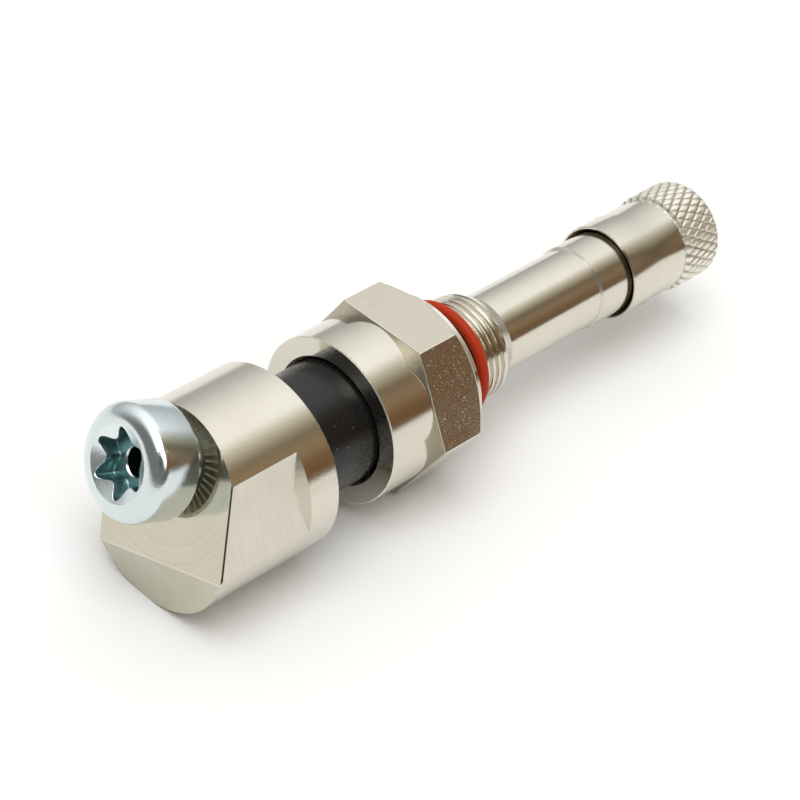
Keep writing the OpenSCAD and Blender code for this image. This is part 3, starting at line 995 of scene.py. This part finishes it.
# Light: a white tent over and behind the valve, with a wide lamp above it, and a dim brown room on the
# near side. The end beyond the foot is open and dark, and so is the camera's own place, as
# a photographer's is. One window stands beside the camera.
world = bpy.data.worlds.new("tent")
bpy.context.scene.world = world
world.use_nodes = True
tree = world.node_tree
tree.nodes.clear()
toward = add(tree, "ShaderNodeTexCoord").outputs["Generated"]
parts = add(tree, "ShaderNodeSeparateXYZ", {0: toward})
to_right, to_back, to_top = parts.outputs["X"], parts.outputs["Y"], parts.outputs["Z"]
height = ramp(tree, to_top, 0.0, 0.8)
climb = add(tree, "ShaderNodeMath", {0: height, 1: 1.5}, operation="POWER")
rise = add(tree, "ShaderNodeMath", {0: climb.outputs[0], 1: 0.81, 2: 0.5}, operation="MULTIPLY_ADD")
room = add(tree, "ShaderNodeValToRGB", {"Fac": ramp(tree, to_back, -0.85, -0.05)})
stops = [
    (0.06, (0.32, 0.16, 0.06, 1)),
    (0.24, (0.41, 0.29, 0.175, 1)),
    (0.46, (0.21, 0.165, 0.11, 1)),
    (0.61, (0.4, 0.355, 0.275, 1)),
    (0.78, (0.62, 0.59, 0.495, 1)),
    (1.0, (1, 1, 1, 1)),
]
room.color_ramp.elements[0].position, room.color_ramp.elements[0].color = stops[0]
room.color_ramp.elements[1].position, room.color_ramp.elements[1].color = stops[-1]
for position, shade in stops[1:-1]:
    room.color_ramp.elements.new(position).color = shade
grey = add(tree, "ShaderNodeRGBToBW", {0: room.outputs[0]})
hue = blended(tree, ramp(tree, to_right, -0.3, 0.3), grey.outputs[0], room.outputs[0])
tent = add(tree, "ShaderNodeVectorMath", {0: hue, "Scale": rise.outputs[0]}, operation="SCALE")
open_share = times(tree, ramp(tree, to_right, -0.4, -0.7), ramp(tree, to_top, 0.85, 0.6))
colour = blended(tree, open_share, tent.outputs[0], (0.2, 0.2, 0.19, 1))
lamp = ((-0.25, -0.2, 0.95), 22, 30, (3.8, 3.8, 3.8, 1))
camera_shade = ((-0.615, -0.478, 0.627), 9, 18, (0.1, 0.095, 0.075, 1))
window = ((-0.05, -0.78, 0.62), 10, 15, (3.0, 3.05, 3.1, 1))
for direction, inner, outer, shade in (lamp, camera_shade, window):
    facing = add(
        tree, "ShaderNodeVectorMath",
        {0: toward, 1: Vector(direction).normalized()}, operation="DOT_PRODUCT",
    )
    disc = add(
        tree, "ShaderNodeMapRange",
        {
            "Value": facing.outputs["Value"],
            "From Min": math.cos(math.radians(outer)),
            "From Max": math.cos(math.radians(inner)),
        },
        interpolation_type="SMOOTHSTEP",
    )
    colour = blended(tree, disc.outputs[0], colour, shade)
glow = add(tree, "ShaderNodeBackground", {"Color": colour, "Strength": 1.0})
add(tree, "ShaderNodeOutputWorld", {"Surface": glow.outputs[0]})
bpy.context.scene.view_settings.view_transform = "Standard"

# Camera: a long lens above the foot's end, as the photograph was taken.
# It is turned a little about its own line of sight.
lens = bpy.data.cameras.new("camera")
lens.lens = 117
lens.sensor_width = 36
lens.clip_start = 0.01
lens.clip_end = 20
camera = bpy.data.objects.new("camera", lens)
bpy.context.scene.collection.objects.link(camera)
ahead = Vector((0.61523, 0.47813, -0.6268)).normalized()
right = Vector((0.68866, -0.71296, 0.1321)).normalized()
up = right.cross(ahead).normalized()
right = ahead.cross(up)
camera_place = Matrix.Translation(Vector((-125.84, -110.6, 142.68)) * MM)
camera_turn = Matrix((right, up, -ahead)).transposed().to_4x4()
camera.matrix_world = camera_place @ camera_turn
bpy.context.scene.camera = camera
